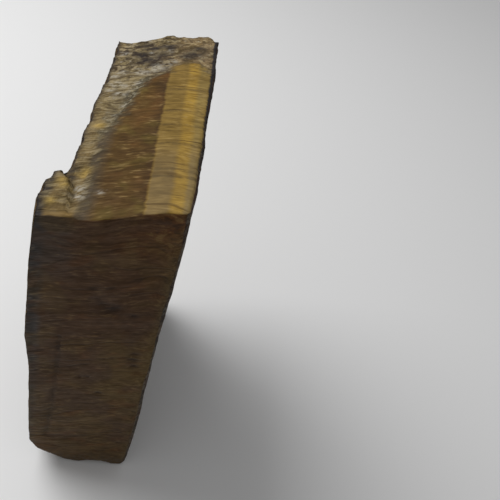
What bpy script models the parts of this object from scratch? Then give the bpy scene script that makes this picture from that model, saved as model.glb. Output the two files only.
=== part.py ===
"""Rough tiger's eye: one block of a fibrous seam, broken and sawn, standing on its sawn foot.

The seam's two rind walls are the left (-X) and right (+X) sides, and the fibres run between them. The
front (-Y) and the tilted top are cut along the fibres. The back and the rim of the top are broken along
them, in ledges. Metres, +Z up, with the origin in the middle of the foot. Shapes are worked out in
millimetres.
"""

import math

import bmesh
import bpy
import numpy as np
from mathutils import noise

MM = 0.001

# Driving dimensions, in millimetres.
SEAM = 30.0  # from rind wall to rind wall, level
DEPTH = 76.0
HEIGHT = 109.6  # over the middle of the foot
LEAN = math.tan(math.radians(5.35))  # of both rind walls, to the right
TOP_SLOPE = math.tan(math.radians(10.0))  # of the top, rising to the right
LEFT_FOOT = -16.2  # where the left wall meets the ground
FRONT = -38.0
BACK = FRONT + DEPTH

# The sheet of points: rows close to each edge, then rows up to a place, as (place, how many).
EDGE_ROWS = (0.5, 1.3)
ROWS_ACROSS = ((SEAM - 1.3, 12),)
ROWS_ALONG = ((22.0, 12), (DEPTH - 1.3, 18))
ROWS_UP = ((80.0, 22), (HEIGHT - 1.3, 12))
EDGE_ROUND = (0.5, 1.3)  # radius of the edges at the top and at the foot

# How far each rind wall stands to the right of its plane at the front, as (height, millimetres).
LEFT_EDGE = ((0, 0), (16, -0.3), (53, -0.8), (66, -1.9), (78, -1.6), (94, -1.1), (103, -0.5), (109, 0))
RIGHT_EDGE = ((0, 0.2), (11, 0.7), (27, 1.2), (46, 0.3), (76, 0.4), (88, 0.6), (104, 0.4), (113, 0))

# The top edge of the left wall, as (Y, millimetres to the right): a horn of rind at the front, then the
# scar of a flake that is gone.
LEFT_TOP = (
    (-38.0, 0.0), (-31.5, -1.0), (-27.2, -0.6), (-26.0, 0.6), (-23.6, 0.8), (-22.6, 3.1),
    (-17.5, 4.0), (5.0, 4.1), (11.5, 5.0), (20.0, 5.6), (38.0, 5.2),
)  # fmt: skip
SCAR_FOOT = 31.0  # the height of the ledge where the scar ends
SCAR_SWEEP = 34.0  # how far back the scar's front edge curves on its way down
HORN = (-3.4, -25.2)
NOTCH = -23.0

# The back's top edge, as (X, millimetres behind the back's plane).
BACK_TOP = ((-1, 1.9), (4, 0.4), (9.5, 4.7), (14, 6.1), (19, 4.2), (23.5, 3.4), (26, 0.2), (28, 0))
# Ledges across the back, as (height, millimetres that the break steps in below it).
BACK_LEDGES = ((97.0, 1.5), (79.0, 2.4), (60.0, -1.3), (42.0, 2.6), (17.0, -1.0))

# Where the cut face of the top ends and the broken rim begins, seen from above.
CUT_LINE = (
    (3.0, -38.0), (2.8, -26.0), (1.9, -13.5), (3.5, -7.0), (5.6, 5.0), (7.3, 12.6),
    (10.5, 17.6), (13.8, 20.0), (16.0, 24.6), (21.0, 26.4), (28.5, 25.4),
)  # fmt: skip
TOP_WORN = 5.6  # X where the top's front edge is worn lowest
RIM_DROP = 0.8
RIM_FALL = 0.04  # millimetres down for each millimetre out from the cut line

# Flat chips along edges and corners: a point on each and the way that it faces.
CHIPS = (
    ((-15.0, -38.0, 12.0), (-0.88, -0.30, -0.37)),
    ((-10.6, -38.0, 5.6), (-0.55, -0.30, -0.78)),
    ((-4.6, -38.0, 1.6), (-0.10, -0.66, -0.75)),
    ((14.4, -38.0, 2.4), (0.66, -0.30, -0.69)),
    ((17.8, -38.0, 50.0), (0.68, -0.73, -0.062)),
    ((25.1, -30.0, 113.2), (0.66, -0.03, 0.75)),
    ((20.4, 34.5, 24.0), (0.70, 0.70, -0.12)),
    ((-12.5, 27.0, 4.0), (-0.62, 0.62, -0.48)),
)
# Hollow chips: the deepest point of each, the way out of it and the radius of the ball that it fits.
SCOOPS = (
    ((4.6, -38.5, 2.6), (0.0, -0.35, -0.94), 10.0),
    ((19.2, -8.0, 47.0), (1.0, 0.0, -0.09), 42.0),
    ((22.4, 14.0, 70.0), (1.0, 0.1, -0.15), 52.0),
    ((19.0, 21.0, 31.0), (1.0, 0.2, 0.0), 34.0),
    ((15.6, -15.0, 15.0), (1.0, 0.0, -0.2), 30.0),
    ((20.6, -24.0, 76.0), (1.0, 0.0, -0.1), 40.0),
    ((21.0, 31.5, 62.0), (0.72, 0.69, -0.1), 13.0),
    ((15.5, 25.0, 6.0), (0.6, 0.55, -0.55), 17.0),
    ((-3.6, 11.0, 84.0), (-1.0, 0.0, 0.2), 60.0),
    ((-6.4, 27.0, 55.0), (-1.0, 0.2, -0.1), 44.0),
    ((-13.2, -3.0, 17.0), (-1.0, -0.1, -0.1), 36.0),
    ((-7.4, -11.5, 76.0), (-1.0, -0.1, 0.1), 40.0),
    ((-3.5, 33.0, 88.0), (-0.75, 0.65, 0.0), 12.0),
    ((12.0, 34.0, 50.0), (0.0, 1.0, -0.3), 22.0),
)


def smooth_step(low, high, value):
    t = np.clip((value - low) / (high - low), 0.0, 1.0)
    return t * t * (3.0 - 2.0 * t)


def bump(distance, width):
    return np.exp(-((distance / width) ** 2))


def along_line(line, at):
    """The value of a line of (place, value) points."""
    places, values = zip(*line)
    return np.interp(at, places, values)


def lumps(x, y, z, size, seed):
    """Soft noise from -1 to 1 whose bumps are about size across, in millimetres along each axis."""
    at = np.stack([x / size[0] + seed, y / size[1] - seed, z / size[2] + 0.37 * seed], axis=1)
    return np.array([noise.noise(p) for p in at])


def rows(length, spans):
    """Places along one side, from 0 to its length."""
    places = [0.0, *EDGE_ROWS]
    for end, count in spans:
        places.extend(np.linspace(places[-1], end, count + 1)[1:])
    return np.array([*places, *(length - e for e in EDGE_ROWS[-2::-1]), length])


def sheet_of_points():
    """A cube whose sides are cut into rows, and each point's place in a box of the block's size."""
    bm = bmesh.new()
    bmesh.ops.create_cube(bm, size=1.0)
    sides = ((SEAM, ROWS_ACROSS), (DEPTH, ROWS_ALONG), (HEIGHT, ROWS_UP))
    places = [rows(length, spans) for length, spans in sides]
    for axis, along in enumerate(places):
        edges = [e for e in bm.edges if abs(e.verts[0].co[axis] - e.verts[1].co[axis]) > 0.5]
        bmesh.ops.subdivide_edges(bm, edges=edges, cuts=len(along) - 2, use_grid_fill=True)
    mesh = bpy.data.meshes.new("tigers_eye")
    bm.to_mesh(mesh)
    bm.free()
    unit = np.empty(len(mesh.vertices) * 3)
    mesh.vertices.foreach_get("co", unit)
    unit = unit.reshape(-1, 3) + 0.5
    box = np.empty_like(unit)
    for axis, along in enumerate(places):
        box[:, axis] = along[np.rint(unit[:, axis] * (len(along) - 1)).astype(int)]
    return mesh, box


def rounded(box):
    """The box with its edges rounded, more at the foot than at the top."""
    size = np.array((SEAM, DEPTH, HEIGHT))
    top, foot = EDGE_ROUND
    radius = (foot + (top - foot) * box[:, 2] / HEIGHT)[:, None]
    core = np.clip(box, radius, size - radius)
    out = box - core
    return core + radius * out / np.maximum(np.linalg.norm(out, axis=1, keepdims=True), 1e-9)


def distance_past_cut(x, y):
    """How far a point of the top lies outside the cut line, negative inside."""
    line = np.array(CUT_LINE)
    point = np.stack([x, y], axis=1)
    nearest = np.full(len(x), 1e9)
    side = np.ones(len(x))
    for a, b in zip(line[:-1], line[1:]):
        run = b - a
        t = np.clip(((point - a) @ run) / (run @ run), 0.0, 1.0)
        gap = point - (a + t[:, None] * run)
        far = np.linalg.norm(gap, axis=1)
        turn = run[0] * gap[:, 1] - run[1] * gap[:, 0]
        closer = far < nearest
        nearest = np.where(closer, far, nearest)
        side = np.where(closer, np.sign(turn), side)
    return nearest * side


def rind(y, z, seed):
    """The lumps and shallow pits of a rind wall."""
    none = np.zeros_like(y)
    large = lumps(none, y, z, (1, 24, 18), seed)
    small = lumps(none, y, z, (1, 8, 6), seed + 5.3) * (0.55 + large)
    pits = smooth_step(0.3, 0.6, lumps(none, y, z, (1, 7, 9), seed + 9.1))
    return 1.1 * large + 0.8 * small - 0.8 * pits


def left_wall(y, z):
    """X of the left rind wall."""
    behind = smooth_step(FRONT, FRONT + 12.0, y)
    edge = along_line(LEFT_EDGE, z) * (1.0 - behind)
    high = smooth_step(SCAR_FOOT - 1.4, SCAR_FOOT + 1.4, z + 5.0 * np.sin(y / 9.0) - 0.25 * y)
    down = np.clip((HEIGHT - z) / (HEIGHT - SCAR_FOOT), 0.0, 1.2)
    scar = along_line(LEFT_TOP, y - SCAR_SWEEP * down**2)
    scar = scar * high * (0.4 + 0.6 * smooth_step(SCAR_FOOT, 100.0, z))
    rough = (0.3 + 0.7 * (1.0 - high)) * behind + 0.1
    return LEFT_FOOT + LEAN * z + edge + scar - rough * rind(y, z, 3.1)


def right_wall(y, z):
    """X of the right rind wall, which flares out towards the back."""
    behind = smooth_step(FRONT, FRONT + 9.0, y)
    edge = along_line(RIGHT_EDGE, z) * (1.0 - behind)
    flare = 3.1 * np.sqrt(np.clip((y - FRONT) / DEPTH, 0.0, 1.0))
    low = 1.0 - 0.75 * smooth_step(84.0, 108.0, z)
    return LEFT_FOOT + SEAM + LEAN * z + edge + flare + (behind * low + 0.1) * rind(y, z, 12.7)


def front_face(x, z):
    """Y of the front, cut along the fibres: nearly flat, fullest under the middle of the top edge."""
    none = np.zeros_like(x)
    full = -1.1 * bump(x - TOP_WORN, 8.0) * bump(z - HEIGHT, 14.0)
    wave = 0.5 * lumps(x, none, z, (26, 1, 21), 2.2) + 0.2 * lumps(x, none, z, (22, 1, 5), 7.7)
    return FRONT + full + wave


def back_face(x, z):
    """Y of the back, broken along the fibres in ledges that step in towards the foot."""
    none = np.zeros_like(x)
    straight = x - LEAN * (z - HEIGHT)
    face = BACK + along_line(BACK_TOP, straight) * smooth_step(20.0, 104.0, z)
    wave = 4.0 * lumps(x, none, none, (13, 1, 1), 6.1)
    for height, step in BACK_LEDGES:
        face -= step * (1.0 - smooth_step(-1.3, 1.3, z + wave - height))
    return face + 1.1 * lumps(x, none, z, (19, 1, 9), 21.3) + 0.6 * lumps(x, none, z, (12, 1, 3.6), 15.8)


def top_face(x, y):
    """Z of the top: a flat cut, with a lower broken rim at its left and back."""
    none = np.zeros_like(x)
    past = distance_past_cut(x, y)
    rim = smooth_step(-0.2, 1.6, past)
    ridges = 0.55 * lumps(x, y, none, (11, 3.6, 1), 4.6) + 0.4 * lumps(x, y, none, (8, 8, 1), 9.2)
    horn = 1.5 * bump(x - HORN[0], 3.2) * bump(y - HORN[1], 2.4)
    groove = 1.7 * bump(y - NOTCH - 0.9 + 0.45 * (x + 2.0), 1.3) * smooth_step(3.0, -1.5, x)
    sag = 0.9 * bump(x - TOP_WORN, 8.0) * bump(y - FRONT, 6.0)
    broken = ridges - RIM_DROP - RIM_FALL * np.maximum(past, 0.0) + horn - groove
    return HEIGHT + TOP_SLOPE * x - sag + broken * rim * smooth_step(FRONT - 1.0, FRONT + 7.0, y)


def block(box):
    """Carries each place in the box to the block. The second time round, the faces meet where they should."""
    across, along, up = (box / (SEAM, DEPTH, HEIGHT)).T
    x = LEFT_FOOT + box[:, 0] + LEAN * box[:, 2]
    y = FRONT + box[:, 1]
    for _ in range(2):
        z = up * (HEIGHT + TOP_SLOPE * x)
        x = (1.0 - across) * left_wall(y, z) + across * right_wall(y, z)
        y = (1.0 - along) * front_face(x, z) + along * back_face(x, z)
    return np.stack([x, y, up * top_face(x, y)], axis=1)


def chipped(points):
    """Planes off the flat chips and presses in the hollow ones, and keeps the foot on the ground."""
    for place, facing in CHIPS:
        facing = np.array(facing) / np.linalg.norm(facing)
        proud = np.maximum((points - place) @ facing, 0.0)
        points = points - proud[:, None] * facing
    for place, facing, radius in SCOOPS:
        middle = np.array(place) + radius * np.array(facing) / np.linalg.norm(facing)
        out = points - middle
        far = np.linalg.norm(out, axis=1, keepdims=True)
        points = np.where(far < radius, middle + out * radius / far, points)
    points[:, 2] = np.maximum(points[:, 2], 0.0)
    return points


def one_flat_foot(mesh):
    """Joins the level faces of the foot into one."""
    bm = bmesh.new()
    bm.from_mesh(mesh)
    foot = [f for f in bm.faces if all(v.co.z < 1e-7 for v in f.verts)]
    bmesh.ops.dissolve_faces(bm, faces=foot, use_verts=True)
    bm.to_mesh(mesh)
    bm.free()


def stone_material():
    material = bpy.data.materials.new("tigers_eye")
    material.use_nodes = True
    shader = material.node_tree.nodes["Principled BSDF"]
    shader.inputs["Base Color"].default_value = (0.17, 0.10, 0.04, 1.0)
    shader.inputs["Roughness"].default_value = 0.5
    shader.inputs["Metallic"].default_value = 0.0
    return material


def main():
    for obj in list(bpy.data.objects):
        bpy.data.objects.remove(obj, do_unlink=True)
    mesh, box = sheet_of_points()
    points = chipped(block(rounded(box)))
    mesh.vertices.foreach_set("co", (points * MM).ravel())
    one_flat_foot(mesh)
    mesh.shade_smooth()
    mesh.set_sharp_from_angle(angle=math.radians(35))
    mesh.materials.append(stone_material())
    stone = bpy.data.objects.new("tigers_eye", mesh)
    bpy.context.scene.collection.objects.link(stone)


main()
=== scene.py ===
"""Rough tiger's eye on a pale studio floor: the block's stone, its light and its camera.

The stone is a fine sheet of points folded round the block's own rules: two leaning rind walls, a cut front
and a cut top along the fibres, and a broken back and rim. It replaces the faceted CAD solid of the same form.
Shapes are worked out in millimetres and stored in metres.
"""

import math
from types import SimpleNamespace

import bpy
import numpy as np
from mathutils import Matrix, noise


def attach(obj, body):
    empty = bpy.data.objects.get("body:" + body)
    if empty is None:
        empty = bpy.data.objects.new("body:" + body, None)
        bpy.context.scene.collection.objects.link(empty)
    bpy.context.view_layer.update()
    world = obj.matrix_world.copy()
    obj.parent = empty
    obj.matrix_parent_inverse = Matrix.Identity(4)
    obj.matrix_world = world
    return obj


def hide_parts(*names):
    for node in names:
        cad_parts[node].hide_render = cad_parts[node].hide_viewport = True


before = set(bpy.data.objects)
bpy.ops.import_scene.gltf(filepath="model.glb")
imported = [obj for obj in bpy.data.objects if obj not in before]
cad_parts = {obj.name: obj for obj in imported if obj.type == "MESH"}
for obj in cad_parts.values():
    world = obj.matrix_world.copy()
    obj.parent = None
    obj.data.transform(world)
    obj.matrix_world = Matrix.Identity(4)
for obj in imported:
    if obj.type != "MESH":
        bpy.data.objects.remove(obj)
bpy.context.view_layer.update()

MM = 0.001
NODE = "tigers_eye"

# The block, in millimetres. The sizes down to SIZE are the CAD solid's own.
SEAM = 30.0  # from rind wall to rind wall, level
DEPTH = 76.0
HEIGHT = 109.6  # over the middle of the foot
LEAN = math.tan(math.radians(5.35))  # of both rind walls, to the right
TOP_SLOPE = math.tan(math.radians(10.0))  # of the top, rising to the right
LEFT_FOOT = -16.2  # where the left wall meets the ground
FRONT = -38.0
BACK = FRONT + DEPTH
SIZE = np.array((SEAM, DEPTH, HEIGHT))
EDGE_ROUND = (0.35, 1.0)  # radius of the edges at the top and at the foot
EDGE_ROWS = (0.3, 0.7, 1.2)  # rows of points this far in from each edge
ON_FACE = 1e-6  # a point this near to a side of the box is on that side
ROW_GAPS = (0.72, 0.50, 0.58)  # between the other rows
ROW_WAYS = ("Across", "Along", "Up")

# How far each rind wall stands to the right of its plane at the front, as (height, millimetres).
LEFT_EDGE = ((0, 0), (16, -0.3), (53, -0.8), (66, -1.9), (78, -1.6), (94, -1.1), (103, -0.5), (109, 0))
RIGHT_EDGE = ((0, 0.2), (11, 0.7), (27, 1.2), (46, 0.3), (76, 0.4), (88, 0.6), (104, 0.4), (113, 0))
EDGE_REACH = (12.0, 9.0)  # how far back from the front the left and the right of these are felt
FLARE = 3.1  # how far the right wall stands out at the back
RIND_SEEDS = (3.1, 12.7)  # of the left and the right wall

# The top edge of the left wall, as (Y, millimetres to the right): a horn of rind at the front, then the
# scar of a flake that is gone.
LEFT_TOP = (
    (-38.0, -0.2), (-31.5, -1.2), (-27.3, -0.9), (-26.9, 0.2), (-22.7, 0.3), (-22.2, 2.0), (-19.6, 2.8),
    (-17.5, 3.2), (-8.0, 3.6), (5.0, 3.9), (11.5, 4.2), (20.0, 4.5), (30.0, 4.4), (38.0, 4.0),
)  # fmt: skip
SCAR_FOOT = 31.0  # the height of the ledge where the scar ends
SCAR_SWEEP = 34.0  # how far back the scar's front edge curves on its way down
FACETS = ((11.0, 0.16, 8), (4.5, 0.1, 9))  # the scar's large and small facets: spacing, tilt and seed
FACET_BLEND = 0.4  # how softly they meet, as a share of their spacing
FACET_PROUD = 0.4  # the furthest that one stands out of the wall
HORN_BACK = -22.6  # Y of the horn's back edge. Its right side is the notch's crack
HORN_LEVEL = 0.95  # over the plane of the top
NOTCH = -23.0  # Y of the groove behind the horn

# The back's top edge, as (X, millimetres behind the back's plane).
BACK_TOP = (
    (-1.0, 4.2), (3.5, 1.9), (9.5, 3.2), (13.5, 5.3), (16.5, 4.6), (21.0, 5.5), (24.0, 4.4), (26.0, 1.2),
    (28.0, 1.3),
)  # fmt: skip
# Ledges across the back, as (height, millimetres that the break steps in below it).
BACK_LEDGES = ((97.0, 1.5), (79.0, 2.4), (60.0, -1.3), (42.0, 2.6), (17.0, -1.0))

# Where the cut face of the top ends and the broken rim begins, seen from above.
CUT_LINE = (
    (2.6, -38.0), (2.4, -26.0), (2.2, -13.5), (3.3, -8.0), (5.2, -3.0), (6.3, 3.0), (7.3, 8.0), (9.0, 12.0),
    (10.0, 16.0), (12.0, 18.6), (15.0, 20.6), (16.2, 23.4), (18.5, 24.6), (21.5, 24.6), (23.2, 22.4),
    (24.6, 19.6), (28.5, 17.0),
)  # fmt: skip
SOFTENING = 6  # rounds of averaging that give the surroundings of a point
FRONT_WORN = 0.15  # millimetres off each face where it is rough
WALL_WORN = 0.25
BACK_WORN = 0.36
TOP_CUT = 0.05
TOP_WORN = 5.6  # X where the top's front edge is worn lowest, and the front is fullest
WORN_WIDTH = 8.0
TOP_SAG = 0.9
FRONT_FULL = 1.1
RIM_DROP = 0.8
RIM_FALL = 0.03  # millimetres down for each millimetre out from the cut line

# How far each kind of relief stands up or goes in, in millimetres.
RIND_LUMP = 1.1
RIND_LUMP_SMALL = 0.8
RIND_PIT = 0.8
RIND_BLOCK = 0.7
RIND_KNOB = 0.7
RIND_GRAIN = 0.16
FRONT_RIDGE = 0.09
FRONT_STEP = 0.22
CUT_RIDGE = 0.07
BREAK_TERRACE = 0.9
BREAK_RIDGE = 0.55
BREAK_BUNDLE = 0.22
RIM_SPLINTERS = 0.8  # as a share of those of the back
SEAM_DEPTH = 0.45
FRONT_CRACK_DEPTH = 0.35
PIT_DEPTH = 0.5
NOTCH_DEPTH = 0.9
LEDGE_WAVE = 4.0  # how far the back's ledges wander up and down
LEDGE_ROUND = 1.3

CHIP_SHARE = 0.93  # of what stands past a flat chip's plane, how much is gone
# Flat chips along edges and corners: a point on each and the way that it faces.
CHIPS = (
    ((-15.0, -38.0, 12.0), (-0.88, -0.30, -0.37)),
    ((-10.6, -38.0, 5.6), (-0.55, -0.30, -0.78)),
    ((-4.6, -38.0, 1.6), (-0.10, -0.66, -0.75)),
    ((14.4, -38.0, 2.4), (0.66, -0.30, -0.69)),
    ((17.8, -38.0, 50.0), (0.68, -0.73, -0.062)),
    ((25.1, -30.0, 113.2), (0.66, -0.03, 0.75)),
    ((20.4, 34.5, 24.0), (0.70, 0.70, -0.12)),
    ((-12.5, 27.0, 4.0), (-0.62, 0.62, -0.48)),
)
# Hollow chips: the deepest point of each, the way out of it and the radius of the ball that it fits.
SCOOPS = (
    ((4.6, -38.5, 2.6), (0.0, -0.35, -0.94), 10.0),
    ((19.2, -8.0, 47.0), (1.0, 0.0, -0.09), 42.0),
    ((22.4, 14.0, 70.0), (1.0, 0.1, -0.15), 52.0),
    ((19.0, 21.0, 31.0), (1.0, 0.2, 0.0), 34.0),
    ((15.6, -15.0, 15.0), (1.0, 0.0, -0.2), 30.0),
    ((20.6, -24.0, 76.0), (1.0, 0.0, -0.1), 40.0),
    ((21.0, 31.5, 62.0), (0.72, 0.69, -0.1), 13.0),
    ((15.5, 25.0, 6.0), (0.6, 0.55, -0.55), 17.0),
    ((-3.6, 11.0, 84.0), (-1.0, 0.0, 0.2), 60.0),
    ((-6.4, 27.0, 55.0), (-1.0, 0.2, -0.1), 44.0),
    ((-13.2, -3.0, 17.0), (-1.0, -0.1, -0.1), 36.0),
    ((-7.4, -11.5, 76.0), (-1.0, -0.1, 0.1), 40.0),
    ((-3.5, 33.0, 88.0), (-0.75, 0.65, 0.0), 12.0),
    ((12.0, 34.0, 50.0), (0.0, 1.0, -0.3), 22.0),
)

# Small chips knocked off the edges: the sides that meet there, as 0 or 1 across, along and up (None runs
# along the edge), how many chips, and the deepest of them.
WORN_EDGES = (
    ((None, 0, 1), 13, 0.35), ((0, None, 1), 26, 0.8), ((1, None, 1), 22, 0.55), ((None, 1, 1), 12, 0.8),
    ((0, 0, None), 22, 0.4), ((1, 0, None), 24, 0.5), ((0, 1, None), 18, 0.9), ((1, 1, None), 18, 0.9),
    ((None, 0, 0), 8, 0.5), ((0, None, 0), 14, 0.6), ((1, None, 0), 14, 0.6), ((None, 1, 0), 8, 0.6),
)  # fmt: skip
CHIP_RADIUS = (1.6, 6.0)
CHIP_TILT = 0.45
CHIP_SEED = 5

# Cracks: on the front as (X, Z), and on the top as (X, Y).
FRONT_CRACK = ((-3.6, 68.0), (-4.3, 58.0), (-6.0, 44.0), (-7.5, 32.0), (-8.7, 24.0), (-10.0, 16.6))
NOTCH_CRACK = ((-4.0, -22.6), (-3.0, -24.4), (-1.4, -26.6), (-0.7, -29.0), (-0.5, -31.0))
# Small pits and bruises on the front, as (X, Z, radius).
FRONT_PITS = (
    (10.4, 82.0, 1.1), (7.2, 82.6, 0.9), (8.8, 80.8, 0.9), (14.4, 79.6, 0.7), (15.2, 63.4, 0.8),
    (14.9, 60.6, 1.0), (15.1, 57.8, 0.8), (6.0, 43.4, 0.8), (3.0, 50.8, 0.6), (1.0, 50.2, 0.6),
)  # fmt: skip
# Crushed pale fibres on the top, as (X, Y, radius).
PALE_SPOTS = (
    (7.8, 21.0, 2.0), (11.2, 23.8, 1.8), (15.4, 25.6, 1.0), (5.8, 11.8, 0.9), (3.6, 9.6, 1.2),
    (7.2, 15.0, 0.8), (1.8, 14.4, 1.3), (2.4, 20.6, 1.4), (0.4, 12.4, 0.9), (3.8, 13.6, 0.9),
    (0.8, 18.4, 0.8), (4.8, 4.6, 0.6), (3.9, -1.6, 0.6), (0.8, -29.4, 1.1), (1.2, -31.4, 1.1),
    (5.6, -30.6, 0.6), (1.2, 31.6, 1.0), (9.0, 32.0, 0.7), (14.2, 33.0, 0.7),
)  # fmt: skip
# Painted shade: dark patches in the hollows of the rim, behind the horn and at the back.
SHADE_SPOTS = (
    (20.8, 30.8, 2.6), (19.2, 29.0, 1.8), (21.8, 33.4, 1.4), (9.0, 28.0, 2.6), (12.2, 30.6, 2.1),
    (6.4, 30.6, 1.8), (13.4, 35.4, 2.0), (9.6, 34.4, 1.9), (7.0, 37.2, 1.4), (-2.4, -21.9, 1.2),
    (-1.8, -24.2, 1.1), (-4.4, -23.4, 0.9), (-2.4, -20.0, 0.9), (-2.2, -18.4, 0.7), (-5.4, -27.6, 0.9),
    (-5.6, -30.6, 0.8),
)  # fmt: skip
# Painted sheen: bright gold spots on the horn and the rim.
SHEEN_SPOTS = (
    (-3.0, -27.6, 1.1), (-1.9, -29.2, 1.1), (0.9, -23.0, 1.3), (0.8, -5.4, 1.3), (-4.0, -34.2, 0.8),
)  # fmt: skip
SPOT_STRETCH = {"pale": 1.2, "dark": 1.5, "painted_sheen": 1.2}  # how much wider across than along
PIT_STRETCH = 1.3
# The darkest arcs across the gold, each a place along the fibres, and half their width.
LONG_ARCS = (7.8, -2.4, -8.2, -16.0, -25.6, -28.0)
ARC_WIDTH = 0.45
BRINK = 0.95  # width of the dark line along the rim's left edge

# Layers of lumps over the faces, each as (height, size along each axis, seed).
TOP_ROUGH = ((0.55, (11, 3.6, 1), 4.6), (0.4, (8, 8, 1), 9.2))  # the broken rim
TOP_RIDGES = ((1.0, (10, 1.5, 1), 51.6), (0.5, (6, 0.9, 1), 52.9))  # fibres across the cut
FRONT_WAVE = ((0.5, (26, 1, 21), 2.2), (0.2, (22, 1, 5), 7.7))
FRONT_RIDGES = ((1.0, (11, 1, 1.5), 31.3), (0.6, (7, 1, 0.9), 33.8))
BACK_ROUGH = ((1.1, (19, 1, 9), 21.3), (0.6, (12, 1, 3.6), 15.8))
SCAR_RAGGED = ((3.4, (1, 11, 11), 63.0), (1.6, (1, 3.4, 3.4), 64.5))  # the ledge where the scar ends
CUT_RAGGED = ((1.8, (2.6, 1.9, 2.6), 61.0), (1.6, (1.3, 0.9, 1.3), 62.5))  # the edge of the cut's colours

# The fibres run from wall to wall, rising towards the back and the top, and bend down at the kink.
KINK = 25.8  # millimetres from the left wall's plane
FIBRE_RISE = (0.12, 0.176)  # along and up, for each millimetre across, before the kink
FIBRE_FALL = (-0.42, 0.08)  # and after it
KINK_ROUND = 1.5

# Colours, from 0 to 255. The front's are a darker copy of the top's in painted shade, and the top's golds
# carry a painted sheen.
SCAR = (54, 42, 31)
SCAR_LIGHT = (98, 78, 50)
SCAR_GOLD = (128, 102, 60)
RIND = (41, 37, 35)
RIND_RED = (62, 40, 30)
RIND_RUST = (84, 62, 38)
RIND_DUST = (112, 104, 90)
CRUST = (46, 42, 42)  # the rind's edge on a cut face
LEFT_TAN = (116, 94, 54)
BLUE_GREY = (80, 67, 49)
BROWN = (86, 62, 20)
OLIVE = (97, 80, 30)
RUSSET = (98, 66, 26)
RED_BROWN = (71, 49, 18)
PALE_GOLD = (130, 105, 50)
DEEP_GOLD = (156, 125, 52)
LOW_TAN = (120, 104, 78)
MARGIN = (134, 113, 62)
FLECK = (146, 122, 76)
SHEEN_GOLD = (182, 154, 86)
BORDER_DARK = (64, 60, 48)
BORDER_LIGHT = (148, 142, 122)
TORN_DARK = (58, 48, 38)
TORN_BROWN = (110, 95, 66)
TORN_TAN = (158, 141, 101)
TORN_ROSE = (140, 118, 94)
TORN_LIGHT = (176, 160, 126)
TORN_PALE = (190, 184, 170)
FRONT_EDGE = (59, 56, 55)
FRONT_BLUE = (67, 61, 59)
FRONT_DUSK = (80, 62, 47)
FRONT_BROWN = (75, 54, 36)
FRONT_OLIVE = (84, 68, 44)
FRONT_GOLD = (92, 74, 42)
FRONT_ROSE = (76, 58, 46)
FRONT_RUST = (90, 57, 28)
FOOT_DUST = (82, 74, 64)
CRACK = (34, 28, 24)
BRUISE = (50, 33, 24)

TONES = (0.36, 0.64)  # the noise that gives the darkest and the palest fibre
WARMTH = (1.0, 1.1, 1.4)  # how much more of green and blue than of red a dark fibre takes away

# The bands of the seam: a place across it, in millimetres from the left wall's plane, and the colour there.
# The golds of the top's bands are partly the stone's own colour and partly painted sheen, which the front's
# bands lack.
TOP_BANDS = (
    (0.0, CRUST), (0.8, CRUST), (1.8, LEFT_TAN), (6.8, LEFT_TAN), (7.8, BLUE_GREY), (9.2, BLUE_GREY),
    (11.6, BROWN), (17.0, BROWN), (20.5, RED_BROWN), (21.1, PALE_GOLD), (25.3, PALE_GOLD),
    (26.4, DEEP_GOLD), (27.9, DEEP_GOLD), (29.1, MARGIN), (40.0, MARGIN),
)  # fmt: skip
# Painted shade: the front's bands are a darker copy of the top's, without its painted gold sheen.
SHADED_FRONT_BANDS = (
    (0.0, FRONT_EDGE), (0.8, FRONT_BLUE), (2.2, FRONT_DUSK), (8.0, FRONT_BROWN), (27.5, FRONT_BROWN),
    (29.6, FRONT_OLIVE), (40.0, FRONT_OLIVE),
)  # fmt: skip
BAND_SPAN = 40.0
EDGE_CRUST = (30.8, 31.4)  # where the right rind starts on the top, at the middle of the depth
EDGE_LEAN = 0.02  # and how much further out with each millimetre back
ARC_GAP = 1.5  # between the dark arcs across the fibres
FIBRE_SWAY = 2.2
BUNDLE = 1.4  # across the end of a bundle of fibres

# The gloss of the stone.
SATIN = (0.7, 0.54)  # roughness of the darkest and of the palest fibres
DULL = 0.8  # roughness of broken stone and rind
SPECULAR = 0.12
BUMP_DEPTH = 0.25 * MM

# The studio, in metres.
FLOOR_SIZE = 6.0
FLOOR_GREY = 0.86
WORLD_LIGHT = 0.3
LAMP_AT = (-0.33, 0.23, 0.56)
LAMP_TURN = (math.radians(-27.0), math.radians(-33.0), 0.0)
LAMP_SIZE = 0.45
LAMP_POWER = 3.4
CAMERA_AT = (0.02228, -0.12752, 0.19437)
CAMERA_TURN = (math.radians(45.0), math.radians(-10.0), 0.0)
CAMERA_LENS = 43.2
CAMERA_SENSOR = 36.0
CAMERA_NEAR = 0.005


def smooth_step(low, high, value):
    t = np.clip((value - low) / (high - low), 0.0, 1.0)
    return t * t * (3.0 - 2.0 * t)


def bump(distance, width):
    return np.exp(-((distance / width) ** 2))


def spots_at(spots, stretch, first, second):
    """How strongly each round spot shows at a point, as a list."""
    return [
        bump(np.hypot((first - place) / stretch, second - other), radius)
        for place, other, radius in spots
    ]


def along_line(line, at):
    """The value of a line of (place, value) points."""
    places, values = zip(*line)
    return np.interp(at, places, values)


def lumps(x, y, z, size, seed):
    """Soft noise from -1 to 1 whose bumps are about size across, in millimetres along each axis."""
    at = np.broadcast_arrays(x / size[0] + seed, y / size[1] - seed, z / size[2] + 0.37 * seed)
    return np.array([noise.noise(p) for p in np.stack(at, axis=1).tolist()])


def layers(x, y, z, table, base=0.0):
    """Several sizes of lumps, one over another."""
    return sum((height * lumps(x, y, z, size, seed) for height, size, seed in table), base)


def steps(value, height):
    """Turns a slope into terraces of this height with steep risers."""
    level = value / height
    whole = np.floor(level)
    return height * (whole + smooth_step(0.3, 0.7, level - whole))


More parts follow.
